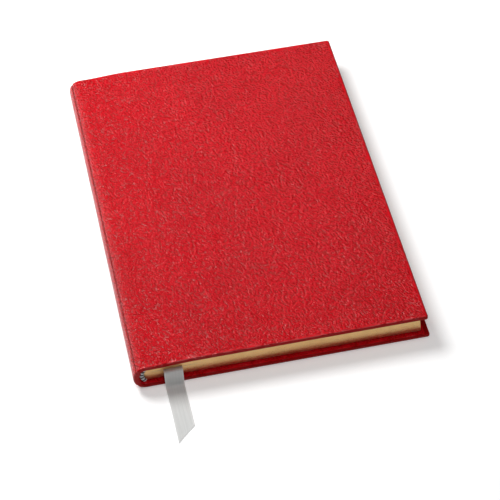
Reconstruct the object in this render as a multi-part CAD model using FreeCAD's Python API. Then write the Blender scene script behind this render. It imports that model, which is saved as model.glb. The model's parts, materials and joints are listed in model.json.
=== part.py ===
import FreeCAD, Part
import math
import os

from FreeCAD import Vector

# A case-bound leather notebook lying closed on its back cover.
# +X points from the spine to the fore-edge, +Y from the tail to the head, +Z up through the book.
# The origin is the centre of the back cover's outer face. All sizes are in millimetres.

# Overall size.
BOOK_WIDTH = 156.0  # from the crown of the spine to the covers' fore-edge
BOOK_HEIGHT = 217.0
BOOK_THICKNESS = 17.5
SPINE_ROUND_RADIUS = 12.8  # outside of the leather over the spine
CORNER_RADIUS = 1.3  # cover corners in plan
EDGE_RADIUS = 0.8  # leather turned over a board's edge

# Material thicknesses.
LEATHER = 0.7
TURN_IN = 0.4  # the leather is pared where it is turned in
BOARD = 1.3
INLAY = 0.5
PASTEDOWN = 0.2
FLYLEAF = 0.15
SPINE_PAPER = 0.2
GAUZE = 0.2
TAPE = 0.35
RIBBON = 0.25

# Widths of what is glued down.
TURN_IN_WIDTH = 14.0
HEADCAP_TURN_IN = 12.0
PASTEDOWN_MARGIN = 4.5
INLAY_MARGIN = 1.2  # from the spine's inlay to the level of the covers' inner faces

# The text block.
FORE_EDGE_SQUARE = 4.0  # how far the covers stand past the leaves
HEAD_TAIL_SQUARE = 3.3
SECTIONS = 12
SECTION_GAP = 0.04
SHEET_GAP = 0.05
RIBBON_SLOT = 0.35  # the gap in the middle that the ribbon lies in
TURNING_ROOM = 0.15
FOLDS_SETBACK = 0.1  # from the front of the sewn folds to the sections' turning lines

# Sewing.
TAPE_PLACES = (-80.0, -40.0, 0.0, 40.0, 80.0)
TAPE_WIDTH = 10.0
KETTLE_STITCH = 100.0
THREAD_RADIUS = 0.16
SEWN_HALF_HEIGHT = 4.9  # how far the tapes, thread and bands reach either way from the middle
BAND_RADIUS = 1.0  # the bead of the headband and tailband
BAND_SETBACK = 1.3  # from the inside of the spine's linings to the bead

# The ribbon marker.
RIBBON_WIDTH = 10.0
RIBBON_TAIL_X = -58.2  # middle of the ribbon where it leaves the block
RIBBON_HEAD_X = -63.5
RIBBON_TIP_Y = -146.5
RIBBON_SLANT = 9.0  # how much shorter the cut end is on the fore-edge side
RIBBON_ANCHOR_LENGTH = 19.0
RIBBON_LIFT = 0.02  # above the section that it lies on
RIBBON_HEAD_GAP = 1.0  # from its flat stretch to the head of the leaves
RIBBON_TAIL_GAP = 0.1  # from the leaves to the start of the tail
RIBBON_LEVEL = 1.9  # how far from the leaves the tail starts to drop
RIBBON_FOOT = 2.0  # how far from the covers it meets the table
RIBBON_BENDS = (1.2, 3.0)  # radii of its two bends

# Worked out from the sizes above.
SPINE_X = -BOOK_WIDTH / 2
FORE_X = BOOK_WIDTH / 2
EDGE_Y = BOOK_HEIGHT / 2
MIDDLE_Z = BOOK_THICKNESS / 2
COVER = LEATHER + BOARD + TURN_IN
ROUND_CENTRE_X = SPINE_X + SPINE_ROUND_RADIUS
# Each cover turns about a line in the leather joint, as far from the crown as the cover is thick,
# so that the spine and both covers lie on the table when the book is open in the middle.
HINGE_X = SPINE_X + COVER
BOARD_X = ROUND_CENTRE_X - math.sqrt(
    (SPINE_ROUND_RADIUS - LEATHER) ** 2 - (MIDDLE_Z - LEATHER) ** 2
)
LEAF_X = FORE_X - FORE_EDGE_SQUARE
LEAF_Y = EDGE_Y - HEAD_TAIL_SQUARE
BLOCK_Z = COVER + PASTEDOWN + SHEET_GAP + FLYLEAF + SHEET_GAP
HALF_BLOCK = MIDDLE_Z - RIBBON_SLOT / 2 - BLOCK_Z
PER_HALF = SECTIONS // 2
RIBBON_Z = MIDDLE_Z - RIBBON_SLOT / 2 + RIBBON_LIFT
SECTION = (HALF_BLOCK - (PER_HALF - 1) * SECTION_GAP) / PER_HALF

# Radii of the layers under the spine leather, from the outside in.
INLAY_RADIUS = SPINE_ROUND_RADIUS - LEATHER
PAPER_RADIUS = INLAY_RADIUS - INLAY
GAUZE_RADIUS = PAPER_RADIUS - SPINE_PAPER
SEWING_RADIUS = GAUZE_RADIUS - GAUZE
BAND_PATH_RADIUS = SEWING_RADIUS - BAND_SETBACK - BAND_RADIUS
TAPE_RADIUS = SEWING_RADIUS - RIBBON
FOLD_RADIUS = TAPE_RADIUS - TAPE


def block(x0, x1, y0, y1, z0, z1):
    """A box between two corners."""
    return Part.makeBox(x1 - x0, y1 - y0, z1 - z0, Vector(x0, y0, z0))


def sheet(x0, x1, half_y, z0, thickness):
    """A flat board or leaf, the same to head and tail."""
    return block(x0, x1, -half_y, half_y, z0, z0 + thickness)


def drum(radius, y0, y1):
    """A round bar along Y about the centre of the spine's rounding."""
    return Part.makeCylinder(radius, y1 - y0, Vector(ROUND_CENTRE_X, y0, MIDDLE_Z), Vector(0, 1, 0))


def spine_window(half_z, y0, y1):
    """A box over the rounded spine, half_z above and below its middle."""
    far_x = ROUND_CENTRE_X - 2 * SPINE_ROUND_RADIUS
    return block(far_x, ROUND_CENTRE_X, y0, y1, MIDDLE_Z - half_z, MIDDLE_Z + half_z)


def curved_layer(outer, inner, half_z, y0, y1):
    """A thin curved layer on the rounded spine, half_z above and below its middle."""
    ring = drum(outer, y0, y1).cut(drum(inner, y0, y1))
    return ring.common(spine_window(half_z, y0, y1))


def curved_cord(path_radius, cord_radius, half_z, y):
    """A thin round cord bent along the rounded spine at one height of the page."""
    ring = Part.makeTorus(path_radius, cord_radius, Vector(ROUND_CENTRE_X, y, MIDDLE_Z), Vector(0, 1, 0))
    reach = 2 * cord_radius
    return ring.common(spine_window(half_z, y - reach, y + reach))


def to_front(shape):
    """The matching piece of the front cover."""
    return shape.mirror(Vector(0, 0, MIDDLE_Z), Vector(0, 0, 1))


def cover_leather():
    """Leather over the back board, round its three edges and turned in on the inside."""
    skin = sheet(BOARD_X, FORE_X, EDGE_Y, 0, COVER)

    def outer_edges(vertical):
        for edge in skin.Edges:
            box = edge.BoundBox
            if box.XMin < BOARD_X + 1e-6 and box.XLength < 1e-6:
                continue
            if (box.ZLength > 1e-6) == vertical:
                yield edge

    skin = skin.makeFillet(CORNER_RADIUS, list(outer_edges(True)))
    skin = skin.makeFillet(EDGE_RADIUS, list(outer_edges(False)))
    hollow = sheet(BOARD_X, FORE_X - LEATHER, EDGE_Y - LEATHER, LEATHER, BOARD)
    window = sheet(BOARD_X, FORE_X - TURN_IN_WIDTH, EDGE_Y - TURN_IN_WIDTH, LEATHER + BOARD, TURN_IN)
    return skin.cut(hollow).cut(window)


def joint_leather():
    """The strip of leather that bends where the cover meets the spine."""
    corner = block(SPINE_X, BOARD_X, -EDGE_Y, EDGE_Y, 0, COVER)
    return drum(SPINE_ROUND_RADIUS, -EDGE_Y, EDGE_Y).common(corner)


def spine_leather():
    """Leather over the spine, with its headcaps turned in at head and tail."""
    half_z = MIDDLE_Z - COVER
    leather = curved_layer(SPINE_ROUND_RADIUS, INLAY_RADIUS, half_z, -EDGE_Y, EDGE_Y)
    for y0, y1 in ((EDGE_Y - LEATHER, EDGE_Y), (-EDGE_Y, LEATHER - EDGE_Y)):
        leather = leather.fuse(curved_layer(INLAY_RADIUS, SEWING_RADIUS, inlay_half_z(), y0, y1))
    for y0 in (EDGE_Y - LEATHER - HEADCAP_TURN_IN, LEATHER - EDGE_Y):
        turned = curved_layer(PAPER_RADIUS, SEWING_RADIUS, inlay_half_z(), y0, y0 + HEADCAP_TURN_IN)
        leather = leather.fuse(turned)
    return leather.removeSplitter()


def inlay_half_z():
    """Half the width of the card that stiffens the spine."""
    return MIDDLE_Z - COVER - INLAY_MARGIN


def cover_pieces():
    """The pieces of the back cover, which the front cover repeats the other way up."""
    inside = LEATHER + BOARD
    return {
        "leather": cover_leather(),
        "leather_joint": joint_leather(),
        "board": sheet(BOARD_X, FORE_X - LEATHER, EDGE_Y - LEATHER, LEATHER, BOARD),
        "infill": sheet(BOARD_X, FORE_X - TURN_IN_WIDTH, EDGE_Y - TURN_IN_WIDTH, inside, TURN_IN),
        "pastedown": sheet(BOARD_X, FORE_X - PASTEDOWN_MARGIN, EDGE_Y - PASTEDOWN_MARGIN, COVER, PASTEDOWN),
        "flyleaf": sheet(BOARD_X, LEAF_X, LEAF_Y, COVER + PASTEDOWN + SHEET_GAP, FLYLEAF),
    }


def section_middle(index):
    """Height of the middle of a section of the lower half, the lowest being 0."""
    return BLOCK_Z + SECTION / 2 + index * (SECTION + SECTION_GAP)


def section_leaves(index):
    """The leaves of a section of the lower half, from just past its turning line to the fore-edge.

    The turning lines step away from the crown of the spine by as much as they rise, so each
    section comes to rest at its own height again when the spine lies on the table.
    """
    middle = section_middle(index)
    turning_x = SPINE_X + middle
    return sheet(turning_x + SECTION / 2 + TURNING_ROOM, LEAF_X, LEAF_Y, middle - SECTION / 2, SECTION)


def sewn_folds():
    """The folds of all the sections, sewn and glued into one piece, rounded at the back.

    Its front is a blunt V that follows the sections' turning lines.
    """
    point_x = SPINE_X + MIDDLE_Z - FOLDS_SETBACK
    depth = point_x - SPINE_X
    corners = [
        Vector(point_x, -LEAF_Y, MIDDLE_Z),
        Vector(SPINE_X, -LEAF_Y, MIDDLE_Z + depth),
        Vector(SPINE_X, -LEAF_Y, MIDDLE_Z - depth),
    ]
    wedge = Part.Face(Part.makePolygon(corners + corners[:1])).extrude(Vector(0, 2 * LEAF_Y, 0))
    return wedge.common(drum(FOLD_RADIUS, -LEAF_Y, LEAF_Y))


def sewing_tapes():
    """Linen tapes across the folds, which the sections are sewn to."""
    half = TAPE_WIDTH / 2
    tapes = []
    for y in TAPE_PLACES:
        tapes.append(curved_layer(TAPE_RADIUS, FOLD_RADIUS, SEWN_HALF_HEIGHT, y - half, y + half))
    return Part.makeCompound(tapes)


def sewing_thread():
    """The thread beside every tape and at the kettle stitches."""
    beside = TAPE_WIDTH / 2 + 2 * THREAD_RADIUS
    places = [y + side * beside for y in TAPE_PLACES for side in (-1, 1)]
    places += [-KETTLE_STITCH, KETTLE_STITCH]
    path = (TAPE_RADIUS + FOLD_RADIUS) / 2
    return Part.makeCompound([curved_cord(path, THREAD_RADIUS, SEWN_HALF_HEIGHT, y) for y in places])


def end_band(side):
    """The bead at the head (+1) or tail (-1) of the folds."""
    y = side * (LEAF_Y + BAND_RADIUS + SHEET_GAP)
    return curved_cord(BAND_PATH_RADIUS, BAND_RADIUS, SEWN_HALF_HEIGHT, y)


def ribbon_in_block():
    """The ribbon between the two middle sections, running slightly aslant from head to tail."""
    half = RIBBON_WIDTH / 2
    z = RIBBON_Z
    head_y = LEAF_Y - RIBBON_HEAD_GAP
    corners = [
        Vector(RIBBON_TAIL_X - half, -LEAF_Y, z),
        Vector(RIBBON_TAIL_X + half, -LEAF_Y, z),
        Vector(RIBBON_HEAD_X + half, head_y, z),
        Vector(RIBBON_HEAD_X - half, head_y, z),
    ]
    return Part.Face(Part.makePolygon(corners + corners[:1])).extrude(Vector(0, 0, RIBBON))


def rounded_path(corners, radii, offset):
    """Edges of a path in the YZ plane with rounded corners, moved sideways by offset.

    It returns the edges and the path's first and last point.
    """
    runs = [(b - a).normalize() for a, b in zip(corners, corners[1:])]
    sides = [Vector(0, -run.z, run.y) for run in runs]
    moved = [corners[0] + sides[0] * offset]
    for corner, before, after in zip(corners[1:-1], sides, sides[1:]):
        moved.append(corner + (before + after) * (offset / (1 + before.dot(after))))
    moved.append(corners[-1] + sides[-1] * offset)
    edges = []
    here = moved[0]
    for i, radius in enumerate(radii):
        before, after = runs[i], runs[i + 1]
        turn = before.getAngle(after)
        left = 1 if before.cross(after).x > 0 else -1
        bend = radius - left * offset
        corner = moved[i + 1]
        start = corner - before * (bend * math.tan(turn / 2))
        end = corner + after * (bend * math.tan(turn / 2))
        centre = start + sides[i] * (left * bend)
        middle = centre + (corner - centre).normalize() * bend
        edges += [Part.makeLine(here, start), Part.Arc(start, middle, end).toShape()]
        here = end
    edges.append(Part.makeLine(here, moved[-1]))
    return edges, moved[0], moved[-1]


def ribbon_tail():
    """The ribbon from the block down over the back cover's edge and out along the table."""
    top = RIBBON_Z + RIBBON / 2
    corners = [
        Vector(0, -LEAF_Y - RIBBON_TAIL_GAP, top),
        Vector(0, -LEAF_Y - RIBBON_LEVEL, top),
        Vector(0, -EDGE_Y - RIBBON_FOOT, RIBBON / 2),
        Vector(0, RIBBON_TIP_Y, RIBBON / 2),
    ]
    upper, upper_start, upper_end = rounded_path(corners, RIBBON_BENDS, RIBBON / 2)
    lower, lower_start, lower_end = rounded_path(corners, RIBBON_BENDS, -RIBBON / 2)
    caps = [Part.makeLine(upper_start, lower_start), Part.makeLine(upper_end, lower_end)]
    outline = Part.Wire(Part.__sortEdges__(upper + lower + caps))
    strip = Part.Face(outline).extrude(Vector(RIBBON_WIDTH, 0, 0))
    left = RIBBON_TAIL_X - RIBBON_WIDTH / 2
    strip.translate(Vector(left, 0, 0))
    right = left + RIBBON_WIDTH
    offcut = [
        Vector(left, RIBBON_TIP_Y, -1),
        Vector(right + 1, RIBBON_TIP_Y + RIBBON_SLANT * (1 + 1 / RIBBON_WIDTH), -1),
        Vector(right + 1, RIBBON_TIP_Y - 1, -1),
        Vector(left, RIBBON_TIP_Y - 1, -1),
    ]
    return strip.cut(Part.Face(Part.makePolygon(offcut + offcut[:1])).extrude(Vector(0, 0, 3)))


def build():
    """Every piece of the notebook, by name."""
    pieces = {}
    for name, shape in cover_pieces().items():
        pieces["back_" + name] = shape
        pieces["front_" + name] = to_front(shape)
    for index in range(PER_HALF):
        leaves = section_leaves(index)
        pieces["section_%02d" % (index + 1)] = leaves
        pieces["section_%02d" % (SECTIONS - index)] = to_front(leaves)
    inside_y = EDGE_Y - LEATHER
    lining_y = inside_y - HEADCAP_TURN_IN
    pieces["spine_leather"] = spine_leather()
    pieces["spine_inlay"] = curved_layer(INLAY_RADIUS, PAPER_RADIUS, inlay_half_z(), -inside_y, inside_y)
    pieces["spine_paper"] = curved_layer(PAPER_RADIUS, GAUZE_RADIUS, inlay_half_z(), -lining_y, lining_y)
    pieces["spine_gauze"] = curved_layer(GAUZE_RADIUS, SEWING_RADIUS, inlay_half_z(), -lining_y, lining_y)
    pieces["sewn_folds"] = sewn_folds()
    pieces["sewing_tapes"] = sewing_tapes()
    pieces["sewing_thread"] = sewing_thread()
    pieces["headband"] = end_band(1)
    pieces["tailband"] = end_band(-1)
    anchor_y = LEAF_Y - RIBBON_ANCHOR_LENGTH
    pieces["ribbon_anchor"] = curved_layer(SEWING_RADIUS, TAPE_RADIUS, RIBBON_WIDTH / 2, anchor_y, LEAF_Y)
    pieces["ribbon"] = ribbon_in_block()
    pieces["ribbon_tail"] = ribbon_tail()
    return pieces


os.makedirs("parts", exist_ok=True)
for name, shape in build().items():
    shape.exportStep("parts/" + name + ".step")
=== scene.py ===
import json
import math

import bmesh
import bpy
import numpy as np
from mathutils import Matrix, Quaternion, Vector


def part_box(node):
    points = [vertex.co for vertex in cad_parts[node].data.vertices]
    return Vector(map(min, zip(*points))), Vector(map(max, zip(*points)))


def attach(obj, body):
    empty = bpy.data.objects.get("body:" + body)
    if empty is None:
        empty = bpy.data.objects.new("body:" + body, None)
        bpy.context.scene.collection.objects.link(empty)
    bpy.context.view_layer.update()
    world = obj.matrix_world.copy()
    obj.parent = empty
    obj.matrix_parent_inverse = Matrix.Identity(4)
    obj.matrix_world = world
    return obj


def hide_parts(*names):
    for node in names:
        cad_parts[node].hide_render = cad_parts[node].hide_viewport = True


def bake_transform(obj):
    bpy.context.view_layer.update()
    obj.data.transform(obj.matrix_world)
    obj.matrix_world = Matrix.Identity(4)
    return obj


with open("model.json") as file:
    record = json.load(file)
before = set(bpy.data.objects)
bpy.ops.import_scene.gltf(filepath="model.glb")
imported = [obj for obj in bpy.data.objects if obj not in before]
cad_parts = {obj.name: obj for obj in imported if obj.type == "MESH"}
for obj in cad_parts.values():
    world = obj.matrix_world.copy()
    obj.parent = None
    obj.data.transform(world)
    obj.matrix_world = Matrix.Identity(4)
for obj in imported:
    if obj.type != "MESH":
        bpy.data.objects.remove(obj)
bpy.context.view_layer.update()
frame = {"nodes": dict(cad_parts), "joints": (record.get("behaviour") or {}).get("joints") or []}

# A case-bound leather notebook lying closed on its back cover, in metres.
# +X points from the spine to the fore-edge, +Y from the tail to the head, +Z up through the book.

MM = 0.001

# Read from the frame.
BACK_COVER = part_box("back_leather")
FRONT_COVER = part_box("front_leather")
CROWN_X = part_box("spine_leather")[0].x
FORE_X = BACK_COVER[1].x
EDGE_Y = BACK_COVER[1].y
COVER = BACK_COVER[1].z
THICKNESS = FRONT_COVER[1].z
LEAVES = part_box("section_01")
LEAF_X = LEAVES[1].x
LEAF_Y = LEAVES[1].y
TURNING_LINES = {joint["child"]: Vector(joint["pos_m"]) for joint in frame["joints"]}

# The spine's rounding, from the height and the depth of its arc between the covers.
ARC_HALF_HEIGHT = THICKNESS / 2 - COVER
ARC_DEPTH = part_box("front_leather_joint")[0].x - CROWN_X
SPINE_RADIUS = (ARC_HALF_HEIGHT**2 + ARC_DEPTH**2) / (2 * ARC_DEPTH)
ROUND_X = CROWN_X + SPINE_RADIUS
MIDDLE_Z = THICKNESS / 2

# The leather.
LEATHER = 0.7 * MM
PARED = 0.4 * MM  # where it is turned in
EDGE_ROUNDING = 0.8 * MM
CORNER_RADIUS = 1.4 * MM
SHOULDER_RADIUS = 5.0 * MM  # where the spine rolls over on to the board
TURN_IN = 14.0 * MM
CREASE_DEPTH = 0.45 * MM
CREASE_WIDTH = 0.55 * MM
CREASE_ANGLE = math.radians(28)  # round the spine from its crown
SPINE_LINING = 1.6 * MM  # leather and turn-in over the folds
SPINE_TO_COVER = (4.4 * MM, 6.2 * MM)  # from the crown, where that gives way to the cover's thickness
HEADCAP = 3.2 * MM  # how far the thicker rim at the spine's ends reaches in
HEADCAP_THICKNESS = 2.9 * MM
HEADCAP_FADE = 0.5 * MM
WAVES = 0.045 * MM  # height of the waves in the uneven face
WAVES_FADE = (1.0 * MM, 8.0 * MM)  # from the cover's edge, where they set in

# How far the front cover sinks towards the spine, where the folds hold no pages apart.
SINK = 1.25 * MM
SINK_FROM_X = -46.0 * MM
SINK_TO_X = -71.0 * MM

# The back cover lies out from under the front one, and the crown of the spine bulges.
LEAN = 2.2 * MM
LEAN_FROM_X = -70.0 * MM
LEAN_TO_X = -48.0 * MM
BULGE = 1.5 * MM
BULGE_FROM_X = -70.0 * MM

SHOULDER_ANGLE = math.asin((MIDDLE_Z - SHOULDER_RADIUS) / (SPINE_RADIUS - SHOULDER_RADIUS))
SHOULDER_X = ROUND_X - (SPINE_RADIUS - SHOULDER_RADIUS) * math.cos(SHOULDER_ANGLE)
SPINE_LENGTH = SPINE_RADIUS * SHOULDER_ANGLE
SHOULDER_LENGTH = SHOULDER_RADIUS * (math.pi / 2 - SHOULDER_ANGLE)
COVER_LENGTH = SPINE_LENGTH + SHOULDER_LENGTH + FORE_X - SHOULDER_X


def smooth_step(value, start, end):
    """0 before start, 1 after end, and 3t^2 - 2t^3 between them."""
    t = np.clip((value - start) / (end - start), 0, 1)
    return t * t * (3 - 2 * t)


def settle(points, lean=LEAN):
    """Points of the closed book as it lies on the table, a little relaxed.

    A point sinks by SINK times a smooth step across the book, and in proportion to its height
    above the back cover. Away from the spine the back cover creeps out by LEAN towards the
    fore-edge, and what lies above it follows by less and less up to the front cover. The spine
    moves the other way, by BULGE at its crown.
    """
    x, z = points[..., 0], points[..., 2]
    sunk = SINK * smooth_step(-x, -SINK_FROM_X, -SINK_TO_X)
    leant = lean * smooth_step(x, LEAN_FROM_X, LEAN_TO_X)
    bulged = BULGE * smooth_step(-x, -BULGE_FROM_X, -CROWN_X)
    settled = points.copy()
    settled[..., 0] += leant * (1 - z / THICKNESS) - bulged
    settled[..., 2] -= sunk * np.clip((z - COVER) / (THICKNESS - COVER), 0, 1)
    return settled


# Meshes.


def grid_faces(rows, columns, first=0):
    """The four-sided faces of a grid of points that is numbered row by row."""
    corner = first + np.arange(rows - 1)[:, None] * columns + np.arange(columns - 1)
    quads = np.stack([corner, corner + 1, corner + columns + 1, corner + columns], axis=-1)
    return quads.reshape(-1, 4)


def wall_faces(line, other):
    """The faces between two lines of point numbers of the same length."""
    return np.stack([line[:-1], line[1:], other[1:], other[:-1]], axis=-1)


def closed_sheet(outer, inner, open_first_row=False):
    """Points and faces of a closed skin between two matching grids of points.

    The outer grid, the inner grid turned over, and a wall along each border. It also gives the
    number of faces of each of them, in that order: outer, inner, first row, last row, first
    column and last column.
    """
    rows, columns = outer.shape[:2]
    number = np.arange(rows * columns).reshape(rows, columns)
    under = number + rows * columns
    parts = [
        grid_faces(rows, columns),
        grid_faces(rows, columns, rows * columns)[:, ::-1],
        wall_faces(under[0], number[0]),
        wall_faces(number[-1], under[-1]),
        wall_faces(number[:, 0], under[:, 0]),
        wall_faces(under[:, -1], number[:, -1]),
    ]
    if open_first_row:
        parts[2] = parts[2][:0]
    points = np.concatenate([outer.reshape(-1, 3), inner.reshape(-1, 3)])
    return points, parts


def make_piece(name, points, quads, finishes, finish_numbers=None, sharp=40, close=1e-6):
    """A mesh object from arrays of points and four-sided faces, with its doubles merged.

    Its rest shape is kept in the point attribute "rest", which the finishes read, so that a
    pattern stays on the surface when the piece bends.
    """
    mesh = bpy.data.meshes.new(name)
    mesh.vertices.add(len(points))
    mesh.vertices.foreach_set("co", points.astype(np.float32).ravel())
    mesh.loops.add(quads.size)
    mesh.loops.foreach_set("vertex_index", quads.astype(np.int32).ravel())
    mesh.polygons.add(len(quads))
    mesh.polygons.foreach_set("loop_start", np.arange(0, quads.size, 4, dtype=np.int32))
    if finish_numbers is not None:
        mesh.polygons.foreach_set("material_index", finish_numbers.astype(np.int32))
    mesh.update(calc_edges=True)
    shape = bmesh.new()
    shape.from_mesh(mesh)
    bmesh.ops.remove_doubles(shape, verts=shape.verts, dist=close)
    bmesh.ops.dissolve_degenerate(shape, edges=shape.edges, dist=close)
    if shape.calc_volume(signed=True) < 0:
        bmesh.ops.reverse_faces(shape, faces=shape.faces)
    shape.to_mesh(mesh)
    shape.free()
    mesh.polygons.foreach_set("use_smooth", np.ones(len(mesh.polygons), bool))
    mesh.set_sharp_from_angle(angle=math.radians(sharp))
    for finish in finishes:
        mesh.materials.append(finish)
    keep_rest(mesh)
    piece = bpy.data.objects.new(name, mesh)
    bpy.context.scene.collection.objects.link(piece)
    return piece


def keep_rest(mesh):
    """Stores where each point is at rest, in the point attribute "rest"."""
    places = np.zeros(len(mesh.vertices) * 3, np.float32)
    mesh.vertices.foreach_get("co", places)
    rest = mesh.attributes.new("rest", "FLOAT_VECTOR", "POINT")
    rest.data.foreach_set("vector", places)


# Finishes.


def start_finish(name, **sockets):
    """A material with one shader, and the sockets that are the same all over it."""
    material = bpy.data.materials.new(name)
    material.use_nodes = True
    tree = material.node_tree
    shader = tree.nodes["Principled BSDF"]
    for socket, value in sockets.items():
        shader.inputs[socket.replace("_", " ")].default_value = value
    return material, tree, shader


def add(tree, kind, inputs=(), **settings):
    """A node with its settings, and its inputs given as values or as sockets to link."""
    made = tree.nodes.new("ShaderNode" + kind)
    for name, value in settings.items():
        setattr(made, name, value)
    for socket, value in dict(inputs).items():
        if isinstance(value, bpy.types.NodeSocket):
            tree.links.new(value, made.inputs[socket])
        else:
            made.inputs[socket].default_value = value
    return made


def sums(tree, operation, *values):
    """The result of one Math node."""
    return add(tree, "Math", dict(enumerate(values)), operation=operation).outputs[0]


def ramp(tree, value, start, end, low=0.0, high=1.0):
    """A value carried smoothly from low to high as it goes from start to end."""
    inputs = {"Value": value, "From Min": start, "From Max": end, "To Min": low, "To Max": high}
    return add(tree, "MapRange", inputs, interpolation_type="SMOOTHSTEP").outputs[0]


def mixed(tree, share, colour_a, colour_b):
    """Two colours mixed by a share."""
    node = add(tree, "Mix", {0: share}, data_type="RGBA")
    for socket, colour in ((node.inputs[6], colour_a), (node.inputs[7], colour_b)):
        if isinstance(colour, bpy.types.NodeSocket):
            tree.links.new(colour, socket)
        else:
            socket.default_value = (*colour, 1)
    return node.outputs[2]


def millimetres(tree, attribute=None):
    """The place on the piece in millimetres, from an attribute or from the object itself."""
    if attribute:
        place = add(tree, "Attribute", attribute_name=attribute).outputs["Vector"]
    else:
        place = add(tree, "TexCoord").outputs["Object"]
    return add(tree, "VectorMath", {0: place, "Scale": 1 / MM}, operation="SCALE").outputs[0]


def noise(tree, place, scale, detail=2.0, roughness=0.5):
    """A Noise node."""
    inputs = {"Vector": place, "Scale": scale, "Detail": detail, "Roughness": roughness}
    return add(tree, "TexNoise", inputs)


def stretched(tree, place, scale, turn=(0.0, 0.0, 0.0)):
    """A place turned and then stretched, so that a pattern on it is drawn out."""
    turned = add(tree, "VectorRotate", {"Vector": place, "Rotation": turn}, rotation_type="EULER_XYZ")
    return add(tree, "VectorMath", {0: turned.outputs[0], 1: scale}, operation="MULTIPLY").outputs[0]


def bump(tree, shader, height, depth):
    """Raises the surface by height times depth."""
    node = add(tree, "Bump", {"Strength": 1.0, "Distance": depth, "Height": height})
    tree.links.new(node.outputs[0], shader.inputs["Normal"])


def leather_finish(name, gloss):
    """Red pebble-grained leather, smoother and darker along the cover's edges, with painted shade in the
    pits of the grain and along the creases beside the spine.
    """
    material, tree, shader = start_finish(name, IOR=1.45, Specular_IOR_Level=gloss)
    place = millimetres(tree, "rest")
    axes = add(tree, "SeparateXYZ", {0: place}).outputs
    from_end = sums(tree, "SUBTRACT", EDGE_Y / MM, sums(tree, "ABSOLUTE", axes[1]))
    from_fore_edge = sums(tree, "SUBTRACT", FORE_X / MM, axes[0])
    from_edge = sums(tree, "MINIMUM", from_end, from_fore_edge)
    stray = noise(tree, place, 0.16, 3.0).outputs[0]
    strayed = sums(tree, "MULTIPLY_ADD", stray, 6.0, from_edge)
    grain_amount = ramp(tree, strayed, 3.0, 5.5)

    wander = noise(tree, place, 0.4, 2.0).outputs["Color"]
    wandered = {0: wander, 1: (1.1, 1.1, 1.1), 2: place}
    warp = add(tree, "VectorMath", wandered, operation="MULTIPLY_ADD").outputs[0]
    drawn = stretched(tree, warp, (0.5, 1.0, 1.0), (0.0, 0.0, math.radians(52)))
    cells = {"Vector": drawn, "Scale": 1.15, "Smoothness": 0.3, "Randomness": 1.0}
    pebble = add(tree, "TexVoronoi", cells, feature="SMOOTH_F1").outputs["Distance"]
    dome = ramp(tree, pebble, 0.85, 0.05)
    fine = noise(tree, stretched(tree, place, (2.2, 2.2, 2.2)), 1.0, 3.0, 0.6).outputs[0]
    height = sums(tree, "MULTIPLY_ADD", fine, 0.35, dome)
    bump(tree, shader, sums(tree, "MULTIPLY", height, grain_amount), 0.72 * MM)

    # Painted shade: the red is darker in the pits of the grain, where shade falls.
    pit_shade = sums(tree, "MULTIPLY", ramp(tree, pebble, 0.42, 0.74), grain_amount)
    pit_shaded_colour = mixed(tree, pit_shade, (0.63, 0.0022, 0.0095), (0.38, 0.0003, 0.0012))
    # Darker along the cover's edges, and painted shade along the creases beside the spine.
    edge_dark_and_crease_shade = sums(tree, "MAXIMUM", ramp(tree, from_edge, 1.2, 0.3), crease_shade_share(tree, axes))
    darkened = mixed(tree, edge_dark_and_crease_shade, pit_shaded_colour, (0.26, 0.0004, 0.0008))
    patch = noise(tree, place, 0.035, 3.0).outputs[0]
    shade = ramp(tree, patch, 0.3, 0.7, 0.95, 1.04)
    toned = add(tree, "VectorMath", {0: darkened, "Scale": shade}, operation="SCALE").outputs[0]
    tree.links.new(toned, shader.inputs["Base Color"])
    tree.links.new(ramp(tree, height, 0.2, 1.2, 0.24, 0.19), shader.inputs["Roughness"])
    return material


def crease_shade_share(tree, axes):
    """Where shade is painted along the bottom of the creases beside the spine: 1 there and 0 away from
    them.
    """
    nearest = None
    for side in (-1, 1):
        x = ROUND_X - SPINE_RADIUS * math.cos(CREASE_ANGLE)
        z = MIDDLE_Z + side * SPINE_RADIUS * math.sin(CREASE_ANGLE)
        x, _, z = settle(np.array([x, 0, z])) / MM
        aside = sums(tree, "SUBTRACT", axes[0], float(x))
        above = sums(tree, "SUBTRACT", axes[2], float(z))
        aside_squared = sums(tree, "MULTIPLY", aside, aside)
        above_squared = sums(tree, "MULTIPLY", above, above)
        squares = sums(tree, "ADD", aside_squared, above_squared)
        nearest = squares if nearest is None else sums(tree, "MINIMUM", nearest, squares)
    return ramp(tree, nearest, 0.7, 0.1)


def paper_finish(name, colour, depth=0.012 * MM, attribute="rest"):
    """Uncoated paper, with a faint cloud and a fine tooth."""
    material, tree, shader = start_finish(name, Roughness=0.8, Specular_IOR_Level=0.3)
    place = millimetres(tree, attribute)
    cloud = noise(tree, place, 0.09, 4.0, 0.6).outputs[0]
    darker = [0.93 * part for part in colour]
    tone = mixed(tree, ramp(tree, cloud, 0.35, 0.65), darker, colour)
    tree.links.new(tone, shader.inputs["Base Color"])
    bump(tree, shader, noise(tree, place, 4.0, 4.0, 0.7).outputs[0], depth)
    return material


def gilt_finish():
    """Gilded edges of the leaves, with the fine lines of the stacked paper."""
    material, tree, shader = start_finish("gilt_edge", Metallic=0.95)
    place = millimetres(tree, "rest")
    streaks = noise(tree, stretched(tree, place, (0.35, 0.35, 9.0)), 1.0, 2.0, 0.6).outputs[0]
    cloud = noise(tree, place, 0.12, 3.0).outputs[0]
    share = sums(tree, "MULTIPLY_ADD", streaks, 0.7, sums(tree, "MULTIPLY", cloud, 0.3))
    tone = mixed(tree, ramp(tree, share, 0.3, 0.7), (0.76, 0.48, 0.19), (0.93, 0.64, 0.29))
    tree.links.new(tone, shader.inputs["Base Color"])
    tree.links.new(ramp(tree, streaks, 0.3, 0.7, 0.26, 0.36), shader.inputs["Roughness"])
    bump(tree, shader, streaks, 0.02 * MM)
    return material


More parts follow.
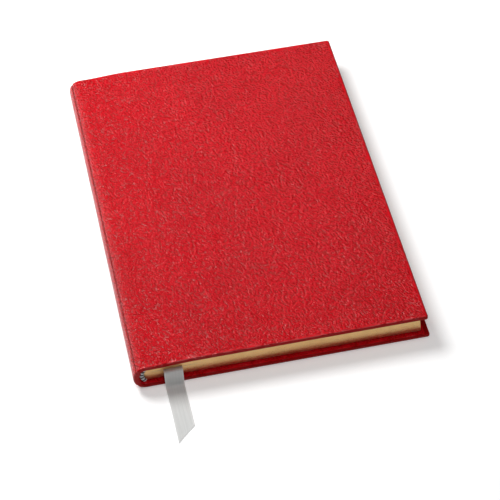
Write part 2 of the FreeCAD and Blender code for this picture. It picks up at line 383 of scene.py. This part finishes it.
def board_finish(name, colour):
    """Pressed board, speckled with fibres."""
    material, tree, shader = start_finish(name, Roughness=0.9, Specular_IOR_Level=0.2)
    place = millimetres(tree, "rest")
    fibres = noise(tree, stretched(tree, place, (1.6, 0.5, 4.0)), 1.0, 4.0, 0.7).outputs[0]
    darker = [0.6 * part for part in colour]
    tree.links.new(mixed(tree, ramp(tree, fibres, 0.35, 0.6), darker, colour), shader.inputs["Base Color"])
    bump(tree, shader, fibres, 0.05 * MM)
    return material


FACE_LEATHER = leather_finish("face_leather", 0.42)
EDGE_LEATHER = leather_finish("edge_leather", 0.08)
PAGE = paper_finish("page", (0.70, 0.665, 0.575))
ENDPAPER = paper_finish("endpaper", (0.67, 0.635, 0.55))
GILT = gilt_finish()
BOARD = board_finish("grey_board", (0.32, 0.29, 0.25))
CARD = board_finish("card", (0.5, 0.44, 0.34))


# The leather, in two halves that meet along the crown of the spine.

JOINT_START = np.array([-76.3 * MM, 0, 14.6 * MM])
JOINT_END = np.array([-74.0 * MM, 0, 17.0 * MM])
EDGE_DEPTH = 0.3  # where the direction into the leather has no more depth than this, it is edge leather


def cross_section(along):
    """The outer line of the front half, at lengths along it from the crown of the spine.

    An arc over the spine, a tighter arc over the board's shoulder and a straight line to the
    fore-edge, each running smoothly into the next. It gives x, z and the outward normal's x, z.
    """
    on_spine = along < SPINE_LENGTH
    past = np.maximum(along - SPINE_LENGTH, 0)
    angle = np.where(on_spine, along / SPINE_RADIUS, SHOULDER_ANGLE + past / SHOULDER_RADIUS)
    angle = np.minimum(angle, math.pi / 2)
    radius = np.where(on_spine, SPINE_RADIUS, SHOULDER_RADIUS)
    centre_x = np.where(on_spine, ROUND_X, SHOULDER_X)
    centre_z = np.where(on_spine, MIDDLE_Z, THICKNESS - SHOULDER_RADIUS)
    straight = np.maximum(past - SHOULDER_LENGTH, 0)
    normal_x, normal_z = -np.cos(angle), np.sin(angle)
    return centre_x + radius * normal_x + straight, centre_z + radius * normal_z, normal_x, normal_z


SPINE_STATIONS = np.concatenate([np.linspace(0, 12 * MM, 61), np.linspace(12 * MM, 32 * MM, 17)[1:]])
COVER_SHARES = np.linspace(0, 1, 56)[1:]
CORNER_ANGLES = np.linspace(0, math.pi / 2, 7)[1:]
FORE_SHARES = np.linspace(-1, 1, 80)[1:-1]


def outline(inset):
    """The leather's outline moved in by each inset, as lengths from the crown and y, a row each.

    Along the tail from the spine, round the corner, up the fore-edge, and back along the head.
    """
    inset = inset[:, None]
    radius = np.maximum(CORNER_RADIUS - inset, 0)
    straight = COVER_LENGTH - inset - radius
    half = EDGE_Y - inset - radius
    start = SPINE_STATIONS[-1]
    run = [SPINE_STATIONS + 0 * inset, start + COVER_SHARES * (straight - start)]
    along = np.concatenate(run + [straight + radius * np.sin(CORNER_ANGLES)], axis=1)
    level = np.zeros(len(SPINE_STATIONS) + len(COVER_SHARES))
    away = np.concatenate([half + radius + level, half + radius * np.cos(CORNER_ANGLES)], axis=1)
    fore = [COVER_LENGTH - inset + 0 * FORE_SHARES, half * FORE_SHARES]
    return (
        np.concatenate([along, fore[0], along[:, ::-1]], axis=1),
        np.concatenate([-away, fore[1], away[:, ::-1]], axis=1),
    )


def skin_profile():
    """The outer skin from the middle of the cover, over its edge and back along the turn-in.

    For each row: the inset, the depth below the outer face, the share of the cover's own
    thickness to add to that depth, the direction into the leather (inset and depth), and the
    leather's thickness.
    """
    quarter = np.linspace(0, math.pi / 2, 8)
    face = np.concatenate([np.linspace(EDGE_Y, 4 * MM, 64), np.linspace(4 * MM, EDGE_ROUNDING, 6)[1:-1]])
    turned = np.linspace(EDGE_ROUNDING, TURN_IN, 16)[1:]
    over, under = EDGE_ROUNDING * (1 - np.sin(quarter)), EDGE_ROUNDING * (1 - np.cos(quarter))
    inset = np.concatenate([face, over, under, turned])
    depth = np.concatenate([0 * face, under, -over, 0 * turned])
    through = np.concatenate([0 * face, 0 * quarter, 0 * quarter + 1, 0 * turned + 1])
    into_x = np.concatenate([0 * face, np.sin(quarter), np.cos(quarter), 0 * turned])
    into_z = np.concatenate([0 * face + 1, np.cos(quarter), -np.sin(quarter), 0 * turned - 1])
    pared = np.concatenate([0 * face, 0 * quarter, quarter / quarter[-1], 0 * turned + 1])
    return inset, depth, through, into_x, into_z, LEATHER + (PARED - LEATHER) * pared


def unevenness(along, y):
    """Shallow waves in the face, from three crossing ripples."""
    ripple = np.sin(along / (7.1 * MM) + 1.7 * np.sin(y / (19 * MM)))
    cross = np.sin(y / (8.3 * MM) + 1.3 * np.sin(along / (23 * MM)))
    slant = np.sin((along + 1.4 * y) / (13.7 * MM))
    return (ripple + cross + slant) / 3


def skin(inset, depth, through, on_face):
    """Points of the skin for each row of the profile, in every column of the outline."""
    along, y = outline(inset)
    spine = 1 - smooth_step(along, *SPINE_TO_COVER)
    reach = smooth_step(inset, HEADCAP, HEADCAP + HEADCAP_FADE)[:, None]
    at_spine = HEADCAP_THICKNESS + (SPINE_LINING - HEADCAP_THICKNESS) * reach
    whole = COVER + (at_spine - COVER) * spine
    crease = CREASE_DEPTH * np.exp(-(((along - SPINE_RADIUS * CREASE_ANGLE) / CREASE_WIDTH) ** 2))
    waves = WAVES * unevenness(along, y) * smooth_step(inset, *WAVES_FADE)[:, None]
    below = depth[:, None] + through[:, None] * whole + on_face[:, None] * (crease + waves)
    x, z, normal_x, normal_z = cross_section(along)
    return np.stack([x - normal_x * below, y, z - normal_z * below], axis=-1)


def leather_half(name, turned_over, stands_for):
    """The leather over one cover and its half of the spine.

    A profile (face, rounded edge, turn-in) carried round the cover's outline, with a second skin
    inside it. The back half is the front one turned over.
    """
    inset, depth, through, into_x, into_z, thick = skin_profile()
    on_face = 1 - through
    outer = skin(inset, depth, through, on_face)
    inner = skin(inset + thick * into_x, depth + thick * into_z, through, on_face)
    points, parts = closed_sheet(outer, inner, open_first_row=True)
    start, end = JOINT_START.copy(), JOINT_END.copy()
    if turned_over:
        for height in (points[:, 2], start[2:], end[2:]):
            height *= -1
            height += THICKNESS
    turned = np.tile(np.repeat(into_z[1:] <= EDGE_DEPTH, outer.shape[1] - 1), 2)
    on_border = np.ones(sum(len(part) for part in parts[2:]), bool)
    finish_numbers = np.concatenate([turned, on_border])
    finishes = [FACE_LEATHER, EDGE_LEATHER]
    piece = make_piece(name, settle(points), np.concatenate(parts), finishes, finish_numbers)
    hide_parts(*stands_for)
    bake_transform(piece)


# The boards and papers of both covers, and the linings of the spine.

BOARD_STEP = 1.2 * MM  # between points where the covers sink


def cover_sheet(cover, kind, finishes):
    """A board or paper of one cover, over the box of its CAD node, settled with the closed book."""
    node = cover + "_" + kind
    low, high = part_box(node)
    x = np.concatenate([np.arange(low.x, SINK_FROM_X, BOARD_STEP), np.linspace(SINK_FROM_X, high.x, 24)])
    y = np.linspace(low.y, high.y, 40)
    across, along = np.meshgrid(x, y)
    top = np.stack([across, along, 0 * across + high.z], axis=-1)
    bottom = np.stack([across, along, 0 * across + low.z], axis=-1)
    points, parts = closed_sheet(top, bottom)
    on_edge = np.concatenate([np.full(len(part), place > 1) for place, part in enumerate(parts)])
    piece = make_piece(node + "_settled", settle(points), np.concatenate(parts), finishes, on_edge)
    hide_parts(node)
    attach(piece, cover + "_cover")


def spine_lining(node, finish):
    """A curved layer inside the spine, over the box of a CAD node, settled with the closed book."""
    low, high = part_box(node)
    half_height = (high.z - low.z) / 2
    outer_radius = ROUND_X - low.x
    inner_radius = math.hypot(half_height, ROUND_X - high.x)
    rise, y = np.meshgrid(np.linspace(-half_height, half_height, 25), np.linspace(low.y, high.y, 3))
    grids = []
    for radius in (outer_radius, inner_radius):
        grids.append(np.stack([ROUND_X - np.sqrt(radius**2 - rise**2), y, MIDDLE_Z + rise], axis=-1))
    points, parts = closed_sheet(*grids)
    piece = make_piece(node + "_settled", settle(points), np.concatenate(parts), [finish])
    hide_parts(node)
    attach(piece, "spine")


# The text block.

FOLD_RADIUS = ROUND_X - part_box("sewn_folds")[0].x
PAGE_GAP = 0.02 * MM
BEND_LENGTH = 2.0 * MM  # of each section, from its turning line
BEND_POINTS = 13
SECTION_STEP = 1.5 * MM  # between points where the sections sink
MIDDLE_REACH = 0.3 * MM  # only faces this near to the middle of the block part round the ribbon
RIBBON_LOW, RIBBON_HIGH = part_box("ribbon")
RIBBON_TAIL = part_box("ribbon_tail")
RIBBON_WIDTH = round(RIBBON_TAIL[1].x - RIBBON_TAIL[0].x, 5)
# From the ribbon's middle, where the middle sections start to close and where they have closed.
CLOSING = (RIBBON_WIDTH / 2 + 1.0 * MM, RIBBON_WIDTH / 2 + 12.0 * MM)


def ribbon_line(y):
    """Where the middle of the ribbon lies inside the block: a straight line from head to tail."""
    tail_x = RIBBON_HIGH.x - RIBBON_WIDTH / 2
    head_x = RIBBON_LOW.x + RIBBON_WIDTH / 2
    return tail_x + (head_x - tail_x) * (y - RIBBON_LOW.y) / (RIBBON_HIGH.y - RIBBON_LOW.y)


def section_piece(number, count):
    """One sewn section, from its fold on the rounded back to the fore-edge.

    Its fold follows the block's rounded back. The two middle sections part only where the ribbon
    lies between them, by half its slot each, and close smoothly on both sides of it.
    """
    node = "section_%02d" % number
    low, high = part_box(node)
    turning = TURNING_LINES[node]
    fold_x = ROUND_X - np.sqrt(FOLD_RADIUS**2 - (np.array([low.z, high.z]) - MIDDLE_Z) ** 2)
    bend = np.linspace(turning.x, turning.x + BEND_LENGTH, BEND_POINTS)
    sinking = np.arange(bend[-1] + MM, SINK_FROM_X, SECTION_STEP)
    x = np.concatenate([bend, sinking, np.linspace(SINK_FROM_X, LEAF_X, 22)])
    across, along = np.meshgrid(x, np.linspace(-LEAF_Y, LEAF_Y, 41))
    faces = []
    for z, back in zip((high.z, low.z), (fold_x[1], fold_x[0])):
        steps = np.linspace(min(back, bend[0] - MM), bend[0], 6)[:-1] + 0 * along[:, :1]
        all_x = np.concatenate([steps, across], axis=1)
        all_y = np.concatenate([0 * steps + along[:, :1], along], axis=1)
        all_z = z + 0 * all_x
        closed = smooth_step(np.abs(all_x - ribbon_line(all_y)), *CLOSING)
        toward_middle = np.sign(MIDDLE_Z - z)
        if abs(MIDDLE_Z - z) < MIDDLE_REACH:
            all_z += toward_middle * (abs(MIDDLE_Z - z) - PAGE_GAP / 2) * closed
        faces.append(np.stack([all_x, all_y, all_z], axis=-1))
    points, parts = closed_sheet(faces[0], faces[1])
    gilded = np.concatenate([np.full(len(part), place in (2, 3, 5)) for place, part in enumerate(parts)])
    piece = make_piece(node + "_leaves", settle(points), np.concatenate(parts), [PAGE, GILT], gilded)
    middle = count // 2
    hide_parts(node, *(["sewn_folds"] if number == middle else []))
    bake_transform(piece)


# Headband and tailband.

THREAD = 0.26 * MM  # that the bands are wound with
STRIPE_TURNS = 4  # of one colour, before the other


def end_band(node):
    """A bead of thread wound round a core, along the folds at one end of the block.

    A tube round an arc of the spine's centre. Its radius swells and shrinks with every turn of
    the thread. The attribute "wound" holds the length along the bead.
    """
    low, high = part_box(node)
    side = np.sign(low.y)
    radius = (high.y - low.y) / 2 - THREAD / 2
    path_radius = ROUND_X - low.x - radius - THREAD / 2
    reach = math.asin((high.z - low.z) / 2 / path_radius)
    angle = np.linspace(-reach, reach, 12 * round(2 * reach * path_radius / THREAD) + 1)[:, None]
    turn = np.linspace(0, 2 * math.pi, 25)[None, :]
    wound = (angle + reach) * path_radius
    lean = wound / THREAD - side * turn / (2 * math.pi)
    swell = 0.5 * THREAD * np.abs(np.cos(math.pi * lean)) ** 0.7
    ends = np.sqrt(np.clip(1 - (np.abs(angle) / reach) ** 24, 0, 1))
    out = path_radius + (radius + swell) * ends * np.cos(turn)
    x = ROUND_X - out * np.cos(angle)
    z = MIDDLE_Z + out * np.sin(angle)
    y = (low.y + high.y) / 2 + (radius + swell) * ends * np.sin(turn)
    points = np.stack([x, y + 0 * x, z], axis=-1)
    quads = grid_faces(*points.shape[:2])
    piece = make_piece(node + "_wound", settle(points).reshape(-1, 3), quads, [WOUND_THREAD])
    store_wound(piece.data, path_radius)
    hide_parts(node)
    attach(piece, "spine")


def store_wound(mesh, path_radius):
    """The length along the bead at each point, from its angle round the spine's centre."""
    rest = np.zeros(len(mesh.vertices) * 3, np.float32)
    mesh.attributes["rest"].data.foreach_get("vector", rest)
    rest = rest.reshape(-1, 3)
    angle = np.arctan2(rest[:, 2] - MIDDLE_Z, ROUND_X - rest[:, 0])
    wound = mesh.attributes.new("wound", "FLOAT", "POINT")
    wound.data.foreach_set("value", (angle * path_radius / MM).astype(np.float32))


# The ribbon marker.

DROP_BEND = 1.2 * MM  # radius over the tail edge
TABLE_BEND = 3.0 * MM  # radius on to the table
RIBBON_LEVEL = 1.2 * MM  # how far beyond the leaves it starts to drop
RIBBON_FOOT = 1.6 * MM  # how far beyond the covers a straight drop would meet the table
RIBBON_RUN = 40.0 * MM  # along the table, before it is fitted to the cut end
RIBBON_SLANT = 9.0 * MM  # how much shorter it is cut on the side towards the fore-edge
RIBBON_CLEARANCE = 0.05 * MM  # above its path
RIBBON_WAVE = 0.5 * MM  # height of the slow wave on the table
RIBBON_WAVE_FADE = (3.0 * MM, 14.0 * MM)  # beyond the covers, where it sets in


def ribbon_path():
    """The middle line of the ribbon from the head to its cut end, as y and z, and its length.

    Level through the block, then its heading turns down over the tail edge, straight down to the
    table and level again: y and z are the sums of the heading's cosine and sine.
    """
    inside_z = (RIBBON_LOW.z + RIBBON_HIGH.z) / 2
    thickness = RIBBON_HIGH.z - RIBBON_LOW.z
    fall = inside_z - thickness / 2
    edge_y = -LEAF_Y - RIBBON_LEVEL
    foot_y = -EDGE_Y - RIBBON_FOOT
    steep = math.atan2(fall, edge_y - foot_y)
    slope = (fall - (DROP_BEND + TABLE_BEND) * (1 - math.cos(steep))) / math.sin(steep)
    inside = RIBBON_HIGH.y - edge_y
    bends = np.cumsum([inside, DROP_BEND * steep, slope, TABLE_BEND * steep])
    steps = np.concatenate([np.linspace(0, inside, 60), np.linspace(inside, bends[-1], 60)[1:]])
    beyond = bends[-1] + np.linspace(0, RIBBON_RUN, 60)[1:]
    length = np.concatenate([steps, beyond])
    heading = np.interp(length, [0, *bends], [0, 0, steep, steep, 0])
    middle_heading = (heading[1:] + heading[:-1]) / 2
    step = np.diff(length)
    y = RIBBON_HIGH.y - np.concatenate([[0], np.cumsum(step * np.cos(middle_heading))])
    z = inside_z - np.concatenate([[0], np.cumsum(step * np.sin(middle_heading))])
    return length, y, z


def ribbon():
    """A woven ribbon: a thin sheet carried along its path, cut aslant at the end.

    Its two sides, the selvedges, are a little thicker. On the table it lifts in a slow wave.
    """
    thickness = RIBBON_HIGH.z - RIBBON_LOW.z
    length, y, z = ribbon_path()
    tip_y = RIBBON_TAIL[0].y
    share = np.linspace(-1, 1, 25)[None, :]
    cut_y = tip_y + RIBBON_SLANT * (1 + share) / 2
    outside = y[:, None] < -EDGE_Y
    reach = np.where(outside, (y[:, None] + EDGE_Y) / (y[-1] + EDGE_Y), 0)
    all_y = np.where(outside, -EDGE_Y + reach * (cut_y + EDGE_Y), y[:, None] + 0 * share)
    on_table = smooth_step(-all_y, EDGE_Y + RIBBON_WAVE_FADE[0], EDGE_Y + RIBBON_WAVE_FADE[1])
    lift = RIBBON_WAVE * on_table * np.sin((all_y + share * 3 * MM) / (9 * MM)) ** 2
    all_z = z[:, None] + lift + RIBBON_CLEARANCE
    all_x = ribbon_line(np.maximum(all_y, -LEAF_Y)) + share * RIBBON_WIDTH / 2
    middle = np.stack([all_x + 0 * all_y, all_y, all_z], axis=-1)
    across = np.gradient(middle, axis=1)
    forward = np.gradient(middle, axis=0)
    normal = np.cross(across, forward)
    normal /= np.linalg.norm(normal, axis=-1, keepdims=True)
    selvedge = smooth_step(np.abs(share), 0.84, 0.9)[..., None]
    half = thickness * (0.32 + 0.16 * selvedge) * np.ones(middle.shape[:2] + (1,))
    upper, under = middle - normal * half, middle + normal * half
    points, parts = closed_sheet(upper, under)
    piece = make_piece("ribbon_marker", settle(points, lean=0), np.concatenate(parts), [SATIN], close=1e-7)
    from_middle = share * RIBBON_WIDTH / 2 + 0 * all_y
    cloth = np.stack([from_middle, length[:, None] + 0 * all_y, 0 * all_y], axis=-1)
    store_cloth(piece.data, points, cloth)
    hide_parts("ribbon", "ribbon_tail")
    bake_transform(piece)


def store_cloth(mesh, points, cloth):
    """The place on the flat ribbon, across and along it, at each point of the upper and under side."""
    both = np.concatenate([cloth.reshape(-1, 3)] * 2)
    woven = mesh.attributes.new("woven", "FLOAT_VECTOR", "POINT")
    woven.data.foreach_set("vector", both.astype(np.float32).ravel())


def wound_thread_finish():
    """Silver and black thread, wound in stripes."""
    material, tree, shader = start_finish("wound_thread", Roughness=0.4, IOR=1.5)
    wound = add(tree, "Attribute", attribute_name="wound").outputs["Fac"]
    turns = sums(tree, "FRACT", sums(tree, "DIVIDE", wound, 2 * STRIPE_TURNS * THREAD / MM))
    is_silver = sums(tree, "GREATER_THAN", turns, 0.5)
    tone = mixed(tree, is_silver, (0.012, 0.012, 0.014), (0.66, 0.67, 0.68))
    tree.links.new(tone, shader.inputs["Base Color"])
    strands = noise(tree, stretched(tree, millimetres(tree), (9.0, 3.0, 9.0)), 1.0, 2.0).outputs[0]
    bump(tree, shader, strands, 0.03 * MM)
    return material


def satin_finish():
    """Pale grey satin ribbon: fine ribs across it and a denser selvedge along each side."""
    material, tree, shader = start_finish(
        "satin_ribbon", Roughness=0.42, Specular_IOR_Level=0.35, Sheen_Weight=0.25, Sheen_Roughness=0.4
    )
    place = millimetres(tree, "woven")
    axes = add(tree, "SeparateXYZ", {0: place}).outputs
    from_middle = sums(tree, "ABSOLUTE", axes[0])
    selvedge = ramp(tree, from_middle, RIBBON_WIDTH / MM * 0.42, RIBBON_WIDTH / MM * 0.45)
    weft = sums(tree, "SINE", sums(tree, "MULTIPLY", axes[1], 2 * math.pi / 0.28))
    warp = sums(tree, "SINE", sums(tree, "MULTIPLY", axes[0], 2 * math.pi / 0.2))
    weave = sums(tree, "MULTIPLY_ADD", weft, 0.5, sums(tree, "MULTIPLY", warp, 0.3))
    bands = noise(tree, stretched(tree, place, (1.6, 0.03, 1.0)), 1.0, 3.0).outputs[0]
    base = mixed(tree, ramp(tree, bands, 0.3, 0.7), (0.56, 0.565, 0.555), (0.61, 0.615, 0.605))
    edged = mixed(tree, sums(tree, "MULTIPLY", selvedge, 0.7), base, (0.70, 0.70, 0.69))
    tree.links.new(edged, shader.inputs["Base Color"])
    bump(tree, shader, weave, 0.02 * MM)
    return material


def linen_finish():
    """Undyed linen in plain weave."""
    material, tree, shader = start_finish("linen", Roughness=0.9, Specular_IOR_Level=0.2)
    place = millimetres(tree)
    axes = add(tree, "SeparateXYZ", {0: place}).outputs
    weft = sums(tree, "SINE", sums(tree, "MULTIPLY", axes[1], 2 * math.pi / 0.5))
    warp = sums(tree, "SINE", sums(tree, "MULTIPLY", axes[2], 2 * math.pi / 0.5))
    weave = sums(tree, "MULTIPLY", weft, warp)
    slubs = noise(tree, stretched(tree, place, (1.0, 0.4, 2.0)), 1.0, 3.0).outputs[0]
    tone = mixed(tree, ramp(tree, slubs, 0.35, 0.65), (0.5, 0.44, 0.33), (0.66, 0.6, 0.47))
    tree.links.new(tone, shader.inputs["Base Color"])
    bump(tree, shader, weave, 0.04 * MM)
    return material


def sewing_thread_finish():
    """Waxed linen thread, twisted."""
    material, tree, shader = start_finish("waxed_thread", Roughness=0.5, Specular_IOR_Level=0.4)
    place = millimetres(tree)
    slanted = add(tree, "VectorMath", {0: place, 1: (9.0, 14.0, 9.0)}, operation="DOT_PRODUCT")
    twist = sums(tree, "SINE", slanted.outputs["Value"])
    tone = mixed(tree, ramp(tree, twist, -1.0, 1.0), (0.6, 0.56, 0.46), (0.75, 0.71, 0.6))
    tree.links.new(tone, shader.inputs["Base Color"])
    bump(tree, shader, twist, 0.02 * MM)
    return material


WOUND_THREAD = wound_thread_finish()
SATIN = satin_finish()
LINEN = linen_finish()
WAXED_THREAD = sewing_thread_finish()
ANCHOR_SILK = paper_finish("anchor_silk", (0.5, 0.505, 0.495), attribute=None)

FRONT_LEATHER = ["front_leather", "front_leather_joint", "spine_leather"]
BACK_LEATHER = ["back_leather", "back_leather_joint"]
leather_half("front_leather_cover", False, FRONT_LEATHER)
leather_half("back_leather_cover", True, BACK_LEATHER)

COVER_SHEETS = {
    "board": ([BOARD, BOARD], "board"),
    "infill": ([CARD, CARD], "card"),
    "pastedown": ([ENDPAPER, ENDPAPER], "endpaper"),
    "flyleaf": ([ENDPAPER, GILT], "endpaper"),
}
for cover in ("back", "front"):
    for kind, (finishes, slot) in COVER_SHEETS.items():
        cover_sheet(cover, kind, finishes)

spine_lining("spine_inlay", CARD)
spine_lining("spine_paper", CARD)
spine_lining("spine_gauze", LINEN)

SECTION_COUNT = sum(node.startswith("section_") for node in frame["nodes"])
for number in range(1, SECTION_COUNT + 1):
    section_piece(number, SECTION_COUNT)

end_band("headband")
end_band("tailband")
ribbon()

CAD_FINISHES = {
    "sewing_tapes": LINEN,
    "sewing_thread": WAXED_THREAD,
    "ribbon_anchor": ANCHOR_SILK,
}
for node, finish in CAD_FINISHES.items():
    frame["nodes"][node].data.materials.clear()
    frame["nodes"][node].data.materials.append(finish)


# Floor, light and camera.


def floor_finish():
    """Plain white studio floor, lit a little from within."""
    material, _, _ = start_finish(
        "floor",
        Base_Color=(0.92, 0.92, 0.92, 1),
        Roughness=0.9,
        Specular_IOR_Level=0.1,
        Emission_Color=(1, 1, 1, 1),
        Emission_Strength=0.2,
    )
    return material


def studio_floor():
    """A square floor, a hair below the notebook."""
    reach = 4.0
    z = -0.05 * MM
    corners = [(-reach, -reach, z), (reach, -reach, z), (reach, reach, z), (-reach, reach, z)]
    mesh = bpy.data.meshes.new("studio_floor")
    mesh.from_pydata(corners, [], [(0, 1, 2, 3)])
    mesh.materials.append(floor_finish())
    floor = bpy.data.objects.new("studio_floor", mesh)
    bpy.context.scene.collection.objects.link(floor)


def softbox(name, place, size, power):
    """A round soft light that points at the middle of the notebook."""
    light = bpy.data.lights.new(name, "AREA")
    light.shape = "DISK"
    light.size = size
    light.energy = power
    lamp = bpy.data.objects.new(name, light)
    lamp.location = place
    lamp.rotation_mode = "QUATERNION"
    lamp.rotation_quaternion = Vector(place).to_track_quat("Z", "Y")
    bpy.context.scene.collection.objects.link(lamp)


def surroundings(strength):
    """The same dim white light from all round."""
    world = bpy.data.worlds.new("studio")
    world.use_nodes = True
    world.node_tree.nodes["Background"].inputs["Color"].default_value = (1, 1, 1, 1)
    world.node_tree.nodes["Background"].inputs["Strength"].default_value = strength
    bpy.context.scene.world = world


def camera():
    """A long lens, above the tail end and a little towards the spine's side."""
    azimuth, elevation, roll = (math.radians(angle) for angle in (-12.01, 49.5, -0.5))
    distance = 1.0223
    target = Vector((-0.3 * MM, -28.3 * MM, 0))
    level = math.cos(elevation)
    back = Vector((math.sin(azimuth) * level, -math.cos(azimuth) * level, math.sin(elevation)))
    data = bpy.data.cameras.new("camera")
    data.sensor_width = 36
    data.lens = 133.05
    eye = bpy.data.objects.new("camera", data)
    eye.location = target + back * distance
    eye.rotation_mode = "QUATERNION"
    eye.rotation_quaternion = back.to_track_quat("Z", "Y") @ Quaternion((0, 0, 1), roll)
    bpy.context.scene.collection.objects.link(eye)
    bpy.context.scene.camera = eye


studio_floor()
softbox("key_light", (-0.25, 0.275, 0.52), 0.36, 4.6)
softbox("overhead_light", (0.05, -0.3, 0.95), 0.8, 3.6)
surroundings(0.09)
camera()
bpy.context.scene.view_settings.view_transform = "Standard"
